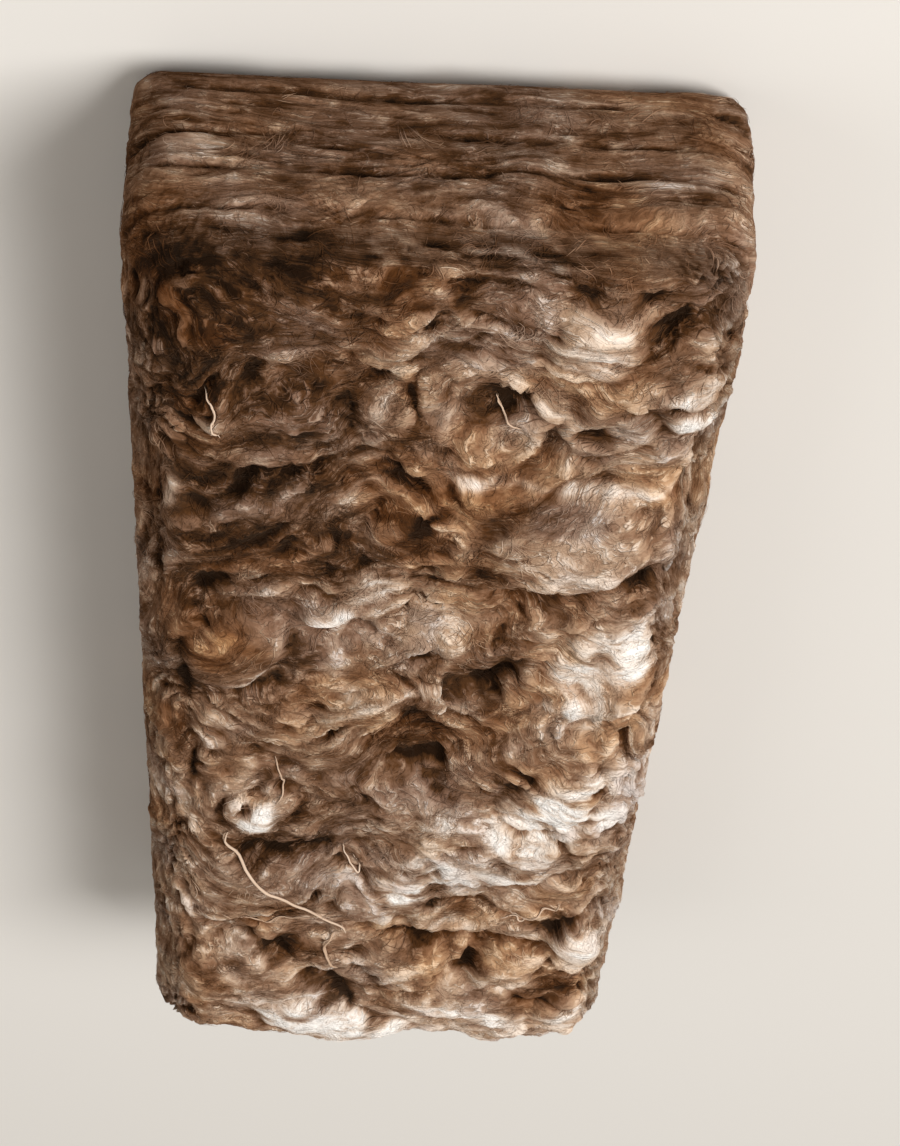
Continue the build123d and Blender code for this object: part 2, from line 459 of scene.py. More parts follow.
def solid_face(x, y):
    """How far the solid's room face lies under its full thickness, as the part's source works it out.

    It has rolls across it that wander, a fall to both sides, and the rumples, each a bell of
    height x exp(-(along / half length)^2 - (across / half width)^2). Its crests are eased off.
    """
    wave = np.sin(tau * x / WANDER_PITCH + 0.6) + np.sin(tau * y / WANDER_PITCH + 1.1) / 2
    turns = tau / 2 * (y + ROLL_WANDER * wave) / ROLL_PITCH
    full = np.hypot(1, CREASE_SOFTNESS) - CREASE_SOFTNESS
    roll = (np.hypot(np.sin(turns), CREASE_SOFTNESS) - CREASE_SOFTNESS) / full
    depth = FACE_DEPTH + ROLL_DEPTH * (1 - roll) + CROWN_DROP * (x / HIGH[0]) ** 2
    for far, tall in marks(LOBES + HOLLOWS, x, y):
        depth = depth - tall * MM * np.exp(-far ** 2)
    return (depth + np.hypot(depth, CREST_SOFTNESS)) / 2


def kept_in(points):
    """Eases what stands proud of the solid's box back, so that it never passes the proud distance.

    Past a line a little inside each face, the distance d beyond it becomes r(1 - exp(-d / r)).
    """
    reach = PROUD + INSIDE
    middle = np.array([0, 0, HIGH[2] / 2])
    half = np.array([HIGH[0], HIGH[1], HIGH[2] / 2]) - INSIDE
    away = points - middle
    past = np.maximum(np.abs(away) - half, 0)
    away = np.sign(away) * (np.minimum(np.abs(away), half) + reach * (1 - np.exp(-past / reach)))
    eased = middle + away
    eased[..., 2] = np.where(points[..., 2] < middle[2], np.maximum(points[..., 2], 0), eased[..., 2])
    return eased


def plain_wool(mat):
    """The plain mat, with what everything laid on it needs to know of each point.

    free is 0 on the back and 1 above it, face is 1 on the room face, ends is 1 at the chopped ends,
    and inner is 1 on the room face away from them. rough is x and y moved by up to 14 mm, which
    makes the marks' rims uneven. calm is lower near the tufts and rings, to keep them whole.
    """
    base = mat_grid(mat)
    seed = mat.seed
    x, y, z = np.moveaxis(base, -1, 0)
    face = smooth(HIGH[2] - mat.side_radius, HIGH[2] - 0.01, z)
    ends = smooth(HIGH[1] - 0.03, HIGH[1], np.abs(y))
    along, across = flow_fields(base, seed)
    rough = [
        place + (9 * MM * noise(base, 0.035, seed + 31 + i) + 5 * MM * noise(base, 0.015, seed + 41 + i))
        for i, place in enumerate((x, y))
    ]
    near = np.maximum.reduce([np.exp(-(far / 1.4) ** 4) for far, _ in marks(TUFTS + RINGS, *rough)])
    return SimpleNamespace(
        base=base, seed=seed, x=x, y=y, z=z, along=along, across=across, rough=rough, ends=ends,
        free=smooth(0.0, 0.035, z), face=face, inner=face * (1 - ends), calm=1 - 0.75 * near * face,
    )


def marked(wool):
    """Height over the plain mat of the solid's face and of the marks that are too sharp for the solid.

    A lobe gets a step at its rim and a groove round that. A fold is a bell turned down,
    depth x exp(-far^2), a tuft is height x exp(-far^4), and a ring is a bell over its rim.
    """
    height = (1.5 * MM - solid_face(wool.x, wool.y)) * wool.face
    for far, tall in marks(LOBES, *wool.rough):
        rim = 0.32 * smooth(1.02, 0.76, far) - 0.32 * np.exp(-(((far - 1.14) / 0.14) ** 2))
        height += tall * MM * wool.inner * rim
    for far, deep in marks(FOLDS, *wool.rough):
        height -= deep * MM * wool.inner * np.exp(-far ** 2)
    for far, tall in marks(TUFTS, *wool.rough):
        height += tall * MM * wool.inner * np.exp(-far ** 4)
    for far, tall in marks(RINGS, *wool.rough):
        height += tall * MM * wool.inner * np.exp(-(((far - 1) / 0.3) ** 2))
    return height


def lumped(wool, mat, grid):
    """The grid with five sets of lumps on it, each finer than the last, and the height that they add.

    A set pushes the surface outwards by puffs and noise, times a strength that varies over the batt.
    Then its crests lean over the hollow beside them, down its own slope, so that it laps like torn
    wool.
    """
    size, tall, relief = mat.lump, mat.lump_height, 0
    for step, stretch in enumerate(LUMP_STRETCH):
        at = flow_points(wool.along, wool.across, stretch, step) if stretch else wool.base
        lump = 0.6 * (puffs(at, size, wool.seed + step, 0.18) - 0.38)
        lump = lump + 0.5 * noise(at, size * 0.8, wool.seed + 10 + step)
        strength = 0.55 + 0.75 * smooth(-0.35, 0.45, noise(wool.base, 1.6 * size, wool.seed + 20 + step))
        lump = lump * tall * strength * wool.free * wool.calm
        lump = lump * (0.55 + 0.45 * np.maximum(wool.face, 0.6 * wool.ends))
        grid = grid + outward(grid) * lump[..., None]
        slope = unit(uphill(grid, blurred(lump, 2)))
        grid = grid - slope * (LUMP_LEAN * np.maximum(lump, 0))[..., None]
        relief = relief + lump
        size, tall = size / LUMP_STEP, tall * mat.rough
    return grid, relief


def seamed(wool, grid, relief):
    """The grid with the seams between the fleeces pressed into its cut sides, and the height left.

    A seam is depth x exp(-(distance / spread)^2) over the distance from the middle of the gap where
    the solid has it, and its depth comes and goes along it.
    """
    for level in range(1, FLEECES):
        wave = (np.sin(tau * wool.y / SEAM_PITCH + 1.9 * level)
                + 0.6 * np.sin(tau * wool.x / SEAM_PITCH + 2.3 * level))
        gap = wool.z - (SEAM_TOP + SEAM_WAVE * wave) * level / FLEECES
        open_by = smooth(-0.5, 0.3, noise(wool.base, 0.07, wool.seed + 50 + level))
        seam = (1.5 + 3.5 * open_by) * MM * np.exp(-((gap - SEAM_MIDDLE) / SEAM_SPREAD) ** 2)
        seam = seam * (1 - wool.face)
        grid = grid - outward(wool.base) * seam[..., None]
        relief = relief - 1.2 * seam
    return grid, relief


def ridged(wool, grid, relief):
    """The grid with ridges along the fibres, the height so far, and how much each point is on a ridge.

    A ridge is a bell over a stretched noise's middle value, and beside it is a groove, a bell over a
    value a little higher.
    """
    ridges = 0
    for size, half, layer in RIDGES:
        line = noise(flow_points(wool.along, wool.across, 1.5, layer), size, wool.seed + layer)
        here = smooth(0.0, 0.35, noise(wool.base, 0.9 * size, wool.seed + layer + 5))
        here = here * wool.free * wool.calm * (0.3 + 0.7 * wool.face)
        rise = np.exp(-((line / half) ** 2)) * here
        drop = np.exp(-(((line - 2.2 * half) / (1.2 * half)) ** 2)) * here
        push = MM * (RIDGE_HEIGHT * rise - GROOVE_DEPTH * drop)
        grid = grid + outward(grid) * push[..., None]
        relief = relief + push
        ridges = np.maximum(ridges, rise)
    return grid, relief, ridges


def hollows(wool, height):
    """How much each point lies in a hollow and how much on a crest, both 0 to 1, which the tone turns to
    painted shade and painted highlight.

    A hollow is under its blurred surroundings, near or wide, or is a marked one, or a groove round a
    lobe. A crest is over its near surroundings.
    """
    near, wide = blurred(height, 8), blurred(height, 50)
    hollow = smooth(0.5 * MM, 9 * MM, near - height + 0.4 * (wide - height))
    deep = np.maximum.reduce([np.exp(-far ** 2) for far, _ in marks(FOLDS + HOLLOWS, *wool.rough)])
    hollow = np.maximum(hollow, deep * wool.face)
    for far, tall in marks(LOBES, *wool.rough):
        groove = np.exp(-(((far - 1.14) / 0.12) ** 2))
        hollow = np.maximum(hollow, 0.03 * tall * wool.inner * groove)
    return hollow, smooth(0.3 * MM, 5 * MM, height - near)


def pale_wool(wool, hollow):
    """How torn and pale the wool is, 0 to 1: wisps along the fibres all over, and the marked places, less
    pale in the hollows as painted shade.
    """
    wisps = noise(flow_points(wool.along, wool.across, 1.8, 3), 0.030, wool.seed + 8)
    torn = wisps + 0.8 * noise(flow_points(wool.along, wool.across, 2.0, 4), 0.014, wool.seed + 18)
    broad = 0.5 * noise(wool.base, 0.16, wool.seed + 9) + 0.1 * smooth(0.1, -0.2, wool.x)
    pale = 0.35 * smooth(0.15, 0.7, wisps + broad)
    for far, strength in marks(PALE, *wool.rough):
        pale = np.maximum(pale, strength * wool.inner * np.exp(-0.9 * far ** 2) * (1 + 1.3 * torn))
    # Less pale in the hollows: painted shade
    return np.clip(pale, 0, 1) * (1 - 0.8 * hollow)


def warm_wool(wool):
    """How warm or cool the wool's brown is, nought in between: patches of noise, and the marked places."""
    patches = noise(wool.base, 0.08, wool.seed + 10) + 0.6 * noise(wool.base, 0.03, wool.seed + 15)
    warm = 0.9 * smooth(0.1, 0.6, patches) - 1.3 * smooth(0.0, -0.45, patches)
    for far, strength in marks(WARM, *wool.rough):
        warm += strength * wool.face * smooth(1.3, 0.5, far)
    return warm


def wool_tone(wool, hollow, crest, pale, ridges):
    """Where each point's colour lies between the hollows' painted shade, 0, and the lightest wool, 1.

    Patches and streaks of noise, with painted shade in the hollows, the folds and most SHADE marks,
    and painted highlight on the crests and ridges; lighter on torn places. The whole gets lighter
    towards -X and +Y by painted light, and has more contrast past the middle.
    """
    seed, beyond = wool.seed, smooth(-0.15, 0.15, wool.y)
    tone = 0.28 * noise(wool.base, 0.075, seed + 12)
    tone += 0.27 * noise(flow_points(wool.along, wool.across, 2.0, 6), 0.024, seed + 13)
    tone += 0.18 * noise(flow_points(wool.along, wool.across, 1.5, 5), 0.014, seed + 14)
    # Painted highlight on the crests and painted shade in the hollows
    tone += 0.16 * crest - 0.5 * hollow
    tone *= 0.8 + 0.2 * beyond
    # Painted light: lighter towards -X and +Y
    tone += 0.485 - 0.03 * beyond + 0.10 * smooth(0.12, -0.2, wool.x) + 0.12 * wool.y / HIGH[1]
    # Painted shade deep in each fold
    for far, _ in marks(FOLDS, *wool.rough):
        tone -= 0.5 * wool.inner * np.exp(-(1.7 * far) ** 2)
    # Mostly painted shade, with darker wool in places; lighter where the strength is below nought
    for far, strength in marks(SHADE, *wool.rough):
        tone -= 0.19 * strength * wool.face * np.exp(-far ** 2)
    # Paler where torn, and painted highlight along the ridges
    return tone + (0.42 * pale + 0.2 * ridges)


def rumpled(mat):
    """The mat with its rolls, marks, lumps, seams and ridges, and what fibres and colours need of it.

    loose is the grid as it falls, and grid is the same, kept in its box.
    """
    wool = plain_wool(mat)
    height = marked(wool)
    grid = wool.base + outward(wool.base) * height[..., None]
    grid, relief = lumped(wool, mat, grid)
    grid, relief = seamed(wool, grid, relief)
    grid, relief, ridges = ridged(wool, grid, relief)
    wool.hollow, crest = hollows(wool, height + relief)
    pale = pale_wool(wool, wool.hollow)
    wool.warm = warm_wool(wool)
    wool.tone = wool_tone(wool, wool.hollow, crest, pale, ridges)
    wool.pale = pale ** 1.6
    wool.loose, wool.grid = grid, kept_in(grid)
    wool.normal = outward(grid)
    wool.steps = flow_steps(wool)
    return wool


def new_piece(name, points, triangles, quads, material):
    """A mesh of these points, triangles and quads, riding on the batt and shaded smooth."""
    mesh = bpy.data.meshes.new(name)
    mesh.vertices.add(len(points))
    mesh.vertices.foreach_set("co", np.asarray(points, np.float32).ravel())
    corners = np.concatenate([np.ravel(triangles), np.ravel(quads)]).astype(np.int32)
    sizes = np.concatenate([np.full(len(triangles), 3), np.full(len(quads), 4)]).astype(np.int32)
    mesh.loops.add(len(corners))
    mesh.loops.foreach_set("vertex_index", corners)
    mesh.polygons.add(len(sizes))
    mesh.polygons.foreach_set("loop_start", np.concatenate([[0], np.cumsum(sizes)[:-1]]).astype(np.int32))
    mesh.polygons.foreach_set("use_smooth", np.ones(len(sizes), bool))
    mesh.update(calc_edges=True)
    mesh.materials.append(material)
    piece = bpy.data.objects.new(name, mesh)
    bpy.context.scene.collection.objects.link(piece)
    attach(piece, "root")
    return piece


def paint(piece, name, values):
    """Keeps one value for each point of a piece as an attribute that its material reads."""
    attribute = piece.data.attributes.new(name, "FLOAT", "POINT")
    attribute.data.foreach_set("value", np.asarray(values, np.float32).ravel())


def lay_uv(piece, name, u, v):
    """A UV map that holds two values of each point."""
    corners = np.empty(len(piece.data.loops), np.int32)
    piece.data.loops.foreach_get("vertex_index", corners)
    layer = piece.data.uv_layers.new(name=name)
    both = np.stack([np.ravel(u)[corners], np.ravel(v)[corners]], -1)
    layer.data.foreach_set("uv", both.astype(np.float32).ravel())


def with_poles(values):
    """A grid's values in a row, with one more for each pole: the mean of the ring round it."""
    flat = values.reshape(-1, *values.shape[2:])
    return np.concatenate([flat, [values[0].mean(0)], [values[-1].mean(0)]])


# Locks and fibres, laid along the flow

# The layers of loose fibres. A bundle has so many members, each with so many rings. Members start so
# far apart (spread), part by so many radians (splay), stray from the flow and turn as they go (curl).
# A stiff path is evened more often, and lighter is added to the tone of the wool beneath.
LAYERS = {
    "wool_locks_1": dict(
        members=10, rings=7, spread=5 * MM, splay=0.35, stray=0.7, curl=1.0, stiff=2, lighter=0,
    ),
    "wool_locks_2": dict(
        members=5, rings=7, spread=4 * MM, splay=0.5, stray=0.9, curl=1.4, stiff=1, lighter=0,
    ),
    "wool_fuzz_1": dict(
        members=2, rings=4, spread=3 * MM, splay=0.4, stray=0.5, curl=0.8, stiff=0, lighter=-0.02,
    ),
    "wool_fuzz_2": dict(
        members=2, rings=4, spread=3 * MM, splay=0.5, stray=0.6, curl=0.8, stiff=0, lighter=0,
    ),
}
FIBRE_SIDES, FIBRE_FLATNESS = 3, 0.5  # Sides of a fibre's section, and its thickness to its width
LAYER_SEED, THREAD_SEED = 21, 5
PALER_OVER = 0.96  # A bundle whose draw is over this is a good deal lighter than the wool beneath

# Threads that stand out on this batt, in millimetres: width, and points of x and y along each
THREADS = (
    (3.1, ((141, 172), (146, 186), (136, 210), (112, 256), (98, 268), (76, 294), (44, 322), (38, 334))),
    (2.4, ((40, 330), (50, 356), (56, 380), (50, 402), (42, 408))),
    (1.5, ((157, -432), (151, -412), (150, -398), (146, -388))),
    (1.5, ((-44, -436), (-50, -420), (-58, -410), (-66, -408))),
    (1.6, ((-108, 282), (-112, 296), (-120, 306), (-132, 300), (-140, 290), (-150, 296), (-154, 284))),
    (1.4, ((-100, 300), (-116, 312), (-120, 322), (-130, 318))),
    (1.6, ((44, 196), (40, 208), (36, 222), (30, 236), (28, 224), (34, 206))),
    (1.3, ((150, 300), (134, 320), (112, 330), (90, 322), (74, 318))),
    (1.5, ((104, 40), (100, 64), (96, 90), (102, 112))),
)
THREAD_RINGS, THREAD_SIDES, THREAD_FLATNESS = 40, 6, 0.75
PLIES = ((0, 1.0), (tau / 2, 0.55), (tau / 4, 0.4))  # The thread and two thinner: start round it, and width
PLY_TURN = 22  # Radians that a thinner one winds from end to end


def sampled(values, row, column):
    """A grid's values between its points, by blending the four nearest, round the loop."""
    rows, columns = values.shape[:2]
    row = np.clip(row, 0, rows - 1.001)
    i, j = np.floor(row).astype(int), np.floor(column).astype(int)
    a, b = row - i, column - j
    if values.ndim > 2:
        a, b = a[..., None], b[..., None]
    j0, j1 = j % columns, (j + 1) % columns
    return ((values[i, j0] * (1 - b) + values[i, j1] * b) * (1 - a)
            + (values[i + 1, j0] * (1 - b) + values[i + 1, j1] * b) * a)


def flow_steps(wool):
    """How many rows and columns are crossed by each metre along the fibres, and by each metre across them.

    Across the fibres is uphill on the across field, and along them is the normal crossed with that.
    The shares of a row step and of a column step come from the surface's metric.
    """
    row_step, column_step = slopes(wool.base)
    sideways = unit(uphill(wool.base, wool.across))
    e, f, g, area = metric(row_step, column_step)
    steps = []
    for direction in (np.cross(outward(wool.base), sideways), sideways):
        p, q = np.sum(direction * row_step, -1), np.sum(direction * column_step, -1)
        steps += [(g * p - f * q) / area, (e * q - f * p) / area]
    return np.stack(steps, -1)


def picked(wool, rng, count):
    """Starting places: rows and columns, at random.

    They are even over the room face, sparser on the sides and in the hollows, and none is on the back.
    """
    columns = wool.face.shape[1]
    area = np.linalg.norm(np.cross(*slopes(wool.base)), axis=-1)
    weight = area * wool.free * (0.45 + 0.55 * wool.face) * (1 - 0.75 * wool.hollow)
    weight[:3] = weight[-3:] = 0
    total = np.cumsum(weight.ravel())
    at = np.searchsorted(total, rng.uniform(0, total[-1], count))
    return at // columns + rng.uniform(0, 1, count), at % columns + rng.uniform(0, 1, count)


def moved(wool, row, column, ahead, aside, first, last):
    """Places moved by metres ahead along the fibres and aside across them, within the first and last row."""
    here = sampled(wool.steps, row, column)
    row = np.clip(row + here[:, 0] * ahead + here[:, 2] * aside, first, last)
    return row, column + here[:, 1] * ahead + here[:, 3] * aside


def walked(wool, row, column, lengths, rings, angle, turning):
    """Rows and columns of paths that start at given places and walk along the flow in equal steps.

    Each path heads off at its own angle to the flow, and turns evenly as it goes.
    """
    last = wool.base.shape[0] - 2.01
    walk = np.empty((len(row), rings, 2))
    for ring in range(rings):
        walk[:, ring] = np.stack([row, column], -1)
        heading = angle + turning * ring / (rings - 1)
        ahead, aside = np.cos(heading) * lengths / (rings - 1), np.sin(heading) * lengths / (rings - 1)
        row, column = moved(wool, row, column, ahead, aside, 1, last)
    return walk


def evened(path, times):
    """Paths with each inner point moved to the mean of itself and its two neighbours, times over."""
    for _ in range(times):
        path = path.copy()
        path[:, 1:-1] = (path[:, :-2] + path[:, 1:-1] + path[:, 2:]) / 3
    return path


def tubes(name, path, normal, width, thickness, sides, material):
    """Closed tubes along paths: an ellipse of this width and thickness, drawn out to a point at both ends.

    Its size along the path is the square root of a half sine.
    """
    count, rings = path.shape[:2]
    share = np.linspace(0, 1, rings)
    tangent = unit(np.gradient(path, axis=1))
    side = unit(np.cross(normal, tangent))
    up = np.cross(tangent, side)
    taper = np.sqrt(np.sin(np.pi * share[1:-1]))[None, :, None]
    angle = tau * np.arange(sides) / sides
    wide = (width[:, None, None] / 2 * taper * np.cos(angle))[..., None]
    thick = (thickness[:, None, None] / 2 * taper * np.sin(angle))[..., None]
    skin = path[:, 1:-1, None] + side[:, 1:-1, None] * wide + up[:, 1:-1, None] * thick
    points = np.concatenate([path[:, :1], skin.reshape(count, -1, 3), path[:, -1:]], 1)
    points[..., 2] = np.maximum(points[..., 2], 0.3 * MM)

    # Points of a tube: its first tip, its rings and its last tip, with a fan of triangles at each tip
    inner, each = rings - 2, 2 + (rings - 2) * sides
    here, after = np.arange(sides), np.roll(np.arange(sides), -1)
    ring = 1 + np.arange(inner - 1)[:, None] * sides
    quad = np.stack([ring + here, ring + after, ring + sides + after, ring + sides + here], -1).reshape(-1)
    last = 1 + (inner - 1) * sides
    fan = np.concatenate([
        np.stack([np.zeros(sides, int), 1 + after, 1 + here], -1),
        np.stack([np.full(sides, each - 1), last + here, last + after], -1),
    ]).reshape(-1)
    start = np.arange(count)[:, None] * each
    triangles, quads = (start + fan).reshape(-1, 3), (start + quad).reshape(-1, 4)
    piece = new_piece(name, points.reshape(-1, 3), triangles, quads, material)

    # Its UV map runs in metres along it and round it, and starts elsewhere on each tube
    length = np.linalg.norm(np.diff(path, axis=1), axis=-1).sum(1)
    run = np.concatenate([[0], np.repeat(share[1:-1], sides), [1]])
    round_it = np.concatenate([[0], np.tile(np.arange(sides) / sides, inner), [0]])
    number = np.arange(count)[:, None]
    lay_uv(piece, "strand", run * length[:, None] + number * 0.11, round_it * width[:, None] + number * 0.017)
    return piece


def by_point(values, sides):
    """A value for each ring of each tube, handed to its points: one at each tip, and each side between."""
    return np.concatenate([values[:, :1], np.repeat(values[:, 1:-1], sides, axis=1), values[:, -1:]], 1)


def lay_strands(name, wool, look, seed, material):
    """Bundles of tapered tubes that lie along the flow, or stray from it, and lift off the mat.

    The members of a bundle start beside one another and keep nearly the same angle. Height over the
    mat is an arch, half a sine, and a tip that rises with the square of the run along the strand.
    Where evening its path has sunk a strand into the mat, it is lifted out again. Its colour is that
    of the wool beneath, point by point, mixed with that at its middle.
    """
    rng = np.random.default_rng(seed)
    row, column = picked(wool, rng, look.bundles)
    whose = np.repeat(np.arange(look.bundles), look.members)
    count = len(whose)
    angle = rng.normal(0, look.stray, look.bundles) + tau / 2 * rng.integers(0, 2, look.bundles)
    turning = rng.normal(0, look.curl, look.bundles)
    long = look.length * rng.uniform(0.45, 1.0, look.bundles)
    high = look.lift * rng.uniform(0, 1, look.bundles) ** 1.7

    aside = rng.normal(0, look.spread, count)
    ahead = rng.normal(0, 0.25, count) * long[whose]
    heading = angle[whose]
    row, column = moved(
        wool, row[whose], column[whose], np.cos(heading) * ahead - np.sin(heading) * aside,
        np.sin(heading) * ahead + np.cos(heading) * aside, 2, wool.base.shape[0] - 3,
    )
    own_angle = heading + rng.normal(0, look.splay, count)
    own_turning = turning[whose] + rng.normal(0, 1.5 * look.splay, count)
    own_length = long[whose] * rng.uniform(0.6, 1.1, count)
    walk = walked(wool, row, column, own_length, look.rings, own_angle, own_turning)
    walk = walk[..., 0], walk[..., 1]

    ground = sampled(wool.loose, *walk)
    normal = evened(unit(sampled(wool.normal, *walk)), 1)
    path = evened(ground, look.stiff)
    under = np.maximum(np.sum((ground - path) * normal, -1), 0)
    share = np.linspace(0, 1, look.rings)
    rise = 0.5 * np.sin(np.pi * share) + share ** 2
    arch = rng.uniform(0.2, 1.0, (count, 1)) * high[whose][:, None] * rise
    path = kept_in(path + normal * (under + 0.2 * look.width + arch)[..., None])
    width = look.width * rng.uniform(0.45, 1.0, count) ** 1.3
    piece = tubes(name, path, normal, width, width * FIBRE_FLATNESS, FIBRE_SIDES, material)

    # The tone carries the mat's painted shade and painted highlight onto the fibres above it
    pale, tone, warm = (sampled(values, *walk) for values in (wool.pale, wool.tone, wool.warm))
    pale, tone = (0.7 * values + 0.3 * values[:, look.rings // 2, None] for values in (pale, tone))
    own = look.lighter + 0.05 * rng.normal(0, 1, look.bundles)[whose] + 0.03 * rng.normal(0, 1, count)
    own = own + 0.2 * (rng.uniform(0, 1, look.bundles) > PALER_OVER)[whose]
    pale = pale * rng.uniform(0.8, 1.2, (count, 1))
    paint(piece, "tone", by_point(np.clip(tone + own[:, None], 0, 1.2), FIBRE_SIDES))
    paint(piece, "pale", by_point(np.clip(pale, 0, 1), FIBRE_SIDES))
    paint(piece, "warm", by_point(warm, FIBRE_SIDES))


def threaded(points, rings):
    """A smooth line through points, by a cubic through each four in turn (Catmull-Rom)."""
    points = np.array(points) * MM
    ends = np.concatenate([[2 * points[0] - points[1]], points, [2 * points[-1] - points[-2]]])
    at = np.linspace(0, len(points) - 1.001, rings)
    i, t = at.astype(int), (at % 1)[:, None]
    p0, p1, p2, p3 = (ends[i + k] for k in range(4))
    return 0.5 * (2 * p1 + (p2 - p0) * t + (2 * p0 - 5 * p1 + 4 * p2 - p3) * t ** 2
                  + (3 * p1 - p0 - 3 * p2 + p3) * t ** 3)


def lay_threads(name, wool, material, seed):
    """Single rolled threads laid on the face through their points, with two thinner ones twined about each.

    A thinner one swings from side to side of the thread by a sine, and rests lower on the mat.
    """
    rng = np.random.default_rng(seed)
    base, middle = wool.base, wool.base.shape[0] // 2
    top = np.flatnonzero(base[middle, :, 2] > HIGH[2] - 0.02)
    normals = unit(np.stack([blurred(wool.normal[..., axis], 3) for axis in range(3)], -1))
    swing = np.linspace(0, PLY_TURN, THREAD_RINGS)
    path, normal, width = [], [], []
    for wide, points in THREADS:
        line = threaded(points, THREAD_RINGS)
        for turn, thin in PLIES:
            shift = 0.5 * wide * MM * (thin < 1) * np.sin(swing + turn)
            shift = shift + rng.normal(0, 0.8 * MM, THREAD_RINGS)
            row = np.interp(line[:, 1] + shift, base[:, top[0], 1], np.arange(base.shape[0]))
            column = np.interp(-line[:, 0] + shift, -base[middle, top, 0], top)
            normal.append(unit(sampled(normals, row, column)))
            ground = evened(sampled(wool.loose, row, column)[None], 2)[0]
            path.append(ground + normal[-1] * (0.5 + 0.6 * thin) * wide * MM)
            width.append(wide * thin * MM)
    path, normal, width = kept_in(np.array(path)), np.array(normal), np.array(width)
    piece = tubes(name, path, normal, width, THREAD_FLATNESS * width, THREAD_SIDES, material)
    tone = np.clip(0.82 + 0.06 * rng.normal(0, 1, len(width)), 0, 1)
    each = len(piece.data.vertices) // len(width)
    paint(piece, "tone", np.repeat(tone, each))
    paint(piece, "pale", np.full(len(width) * each, 0.1))
    paint(piece, "warm", np.full(len(width) * each, 0.3))


# Materials

# Glass fibres are some 5 to 10 micrometres thick, far too fine to show, so the streaks are drawn as wide
# as the bundles that the fibres cling together in: length, width, slant to the flow in radians, and
# depth of detail. The first two are crossed, and the third is the coarse one.
STREAKS = ((8 * MM, 2.2 * MM, 0.5, 3), (7 * MM, 1.9 * MM, -0.7, 3), (20 * MM, 7 * MM, 0, 5))

# Wisps, paler lines 1 to 3 mm wide where a noise crosses its middle: the noise's length and width, its
# slant, and the half width of a line in its values
WISPS = ((40 * MM, 15 * MM, 0.3, 0.035), (70 * MM, 24 * MM, -0.25, 0.04))

SWIRL_SIZE, SWIRL_REACH = 26 * MM, 20 * MM
CLOUD_SIZE = 15 * MM  # Of the knots of wool
RELIEF = 3.5 * MM  # Height of the streaks and clouds in the bump
RUN_LENGTH, RUN_WIDTH = 14 * MM, 1.2 * MM  # Of the darker and paler runs along a loose fibre
WARM_TINT, COOL_TINT = (1.0, 0.8, 0.55, 1), (0.93, 1.0, 1.15, 1)  # Factors of red, green and blue


def add_node(tree, kind, inputs, output=0, stops=(), **settings):
    """Adds a node with these settings and gives its output, by name or number, if it has any.

    Each of its inputs, by name or number, is linked or set. The stops are a colour ramp's.
    """
    node = tree.nodes.new(kind)
    for name, value in settings.items():
        setattr(node, name, value)
    for name, value in inputs.items():
        if isinstance(value, bpy.types.NodeSocket):
            tree.links.new(value, node.inputs[name])
        else:
            node.inputs[name].default_value = value
    for number, (place, colour) in enumerate(stops):
        if number == len(node.color_ramp.elements):
            node.color_ramp.elements.new(1.0)
        node.color_ramp.elements[number].position = place
        node.color_ramp.elements[number].color = (*colour, 1)
    return node.outputs[output] if node.outputs else None


def new_material(name):
    """A material with no nodes yet, and add_node for it."""
    material = bpy.data.materials.new(name)
    material.use_nodes = True
    material.node_tree.nodes.clear()
    return material, partial(add_node, material.node_tree)


def painted(add):
    """The three values that each point of a piece was painted with: tone, pale and warm."""
    return [add("ShaderNodeAttribute", {}, "Fac", attribute_name=name) for name in ("tone", "pale", "warm")]


def wool_colour(add, tone, pale, warm, colours):
    """The wool's colour: a ramp from the hollows' painted shade to light by tone, tinted where warm isn't
    nought.

    As far as it is pale, another ramp takes its place, from torn wool in painted shade to off-white.
    """
    # From the hollows' painted shade at the bottom to light, which is partly painted highlight
    brown = (
        (0.05, colours.hollow), (0.27, colours.dark), (0.5, colours.middle), (0.75, colours.tan),
        (1.0, colours.light),
    )
    torn = ((0.3, colours.torn_shade), (0.6, colours.light), (0.95, colours.pale))
    colour = add("ShaderNodeValToRGB", {"Fac": tone}, "Color", brown)
    for sign, tint in ((0.6, WARM_TINT), (-0.6, COOL_TINT)):
        share = add("ShaderNodeMath", {0: warm, 1: sign}, operation="MULTIPLY", use_clamp=True)
        tinted = {0: share, 6: colour, 7: tint}
        colour = add("ShaderNodeMix", tinted, 2, data_type="RGBA", blend_type="MULTIPLY")
    torn = add("ShaderNodeValToRGB", {"Fac": tone}, "Color", torn)
    return add("ShaderNodeMix", {0: pale, 6: colour, 7: torn}, 2, data_type="RGBA")


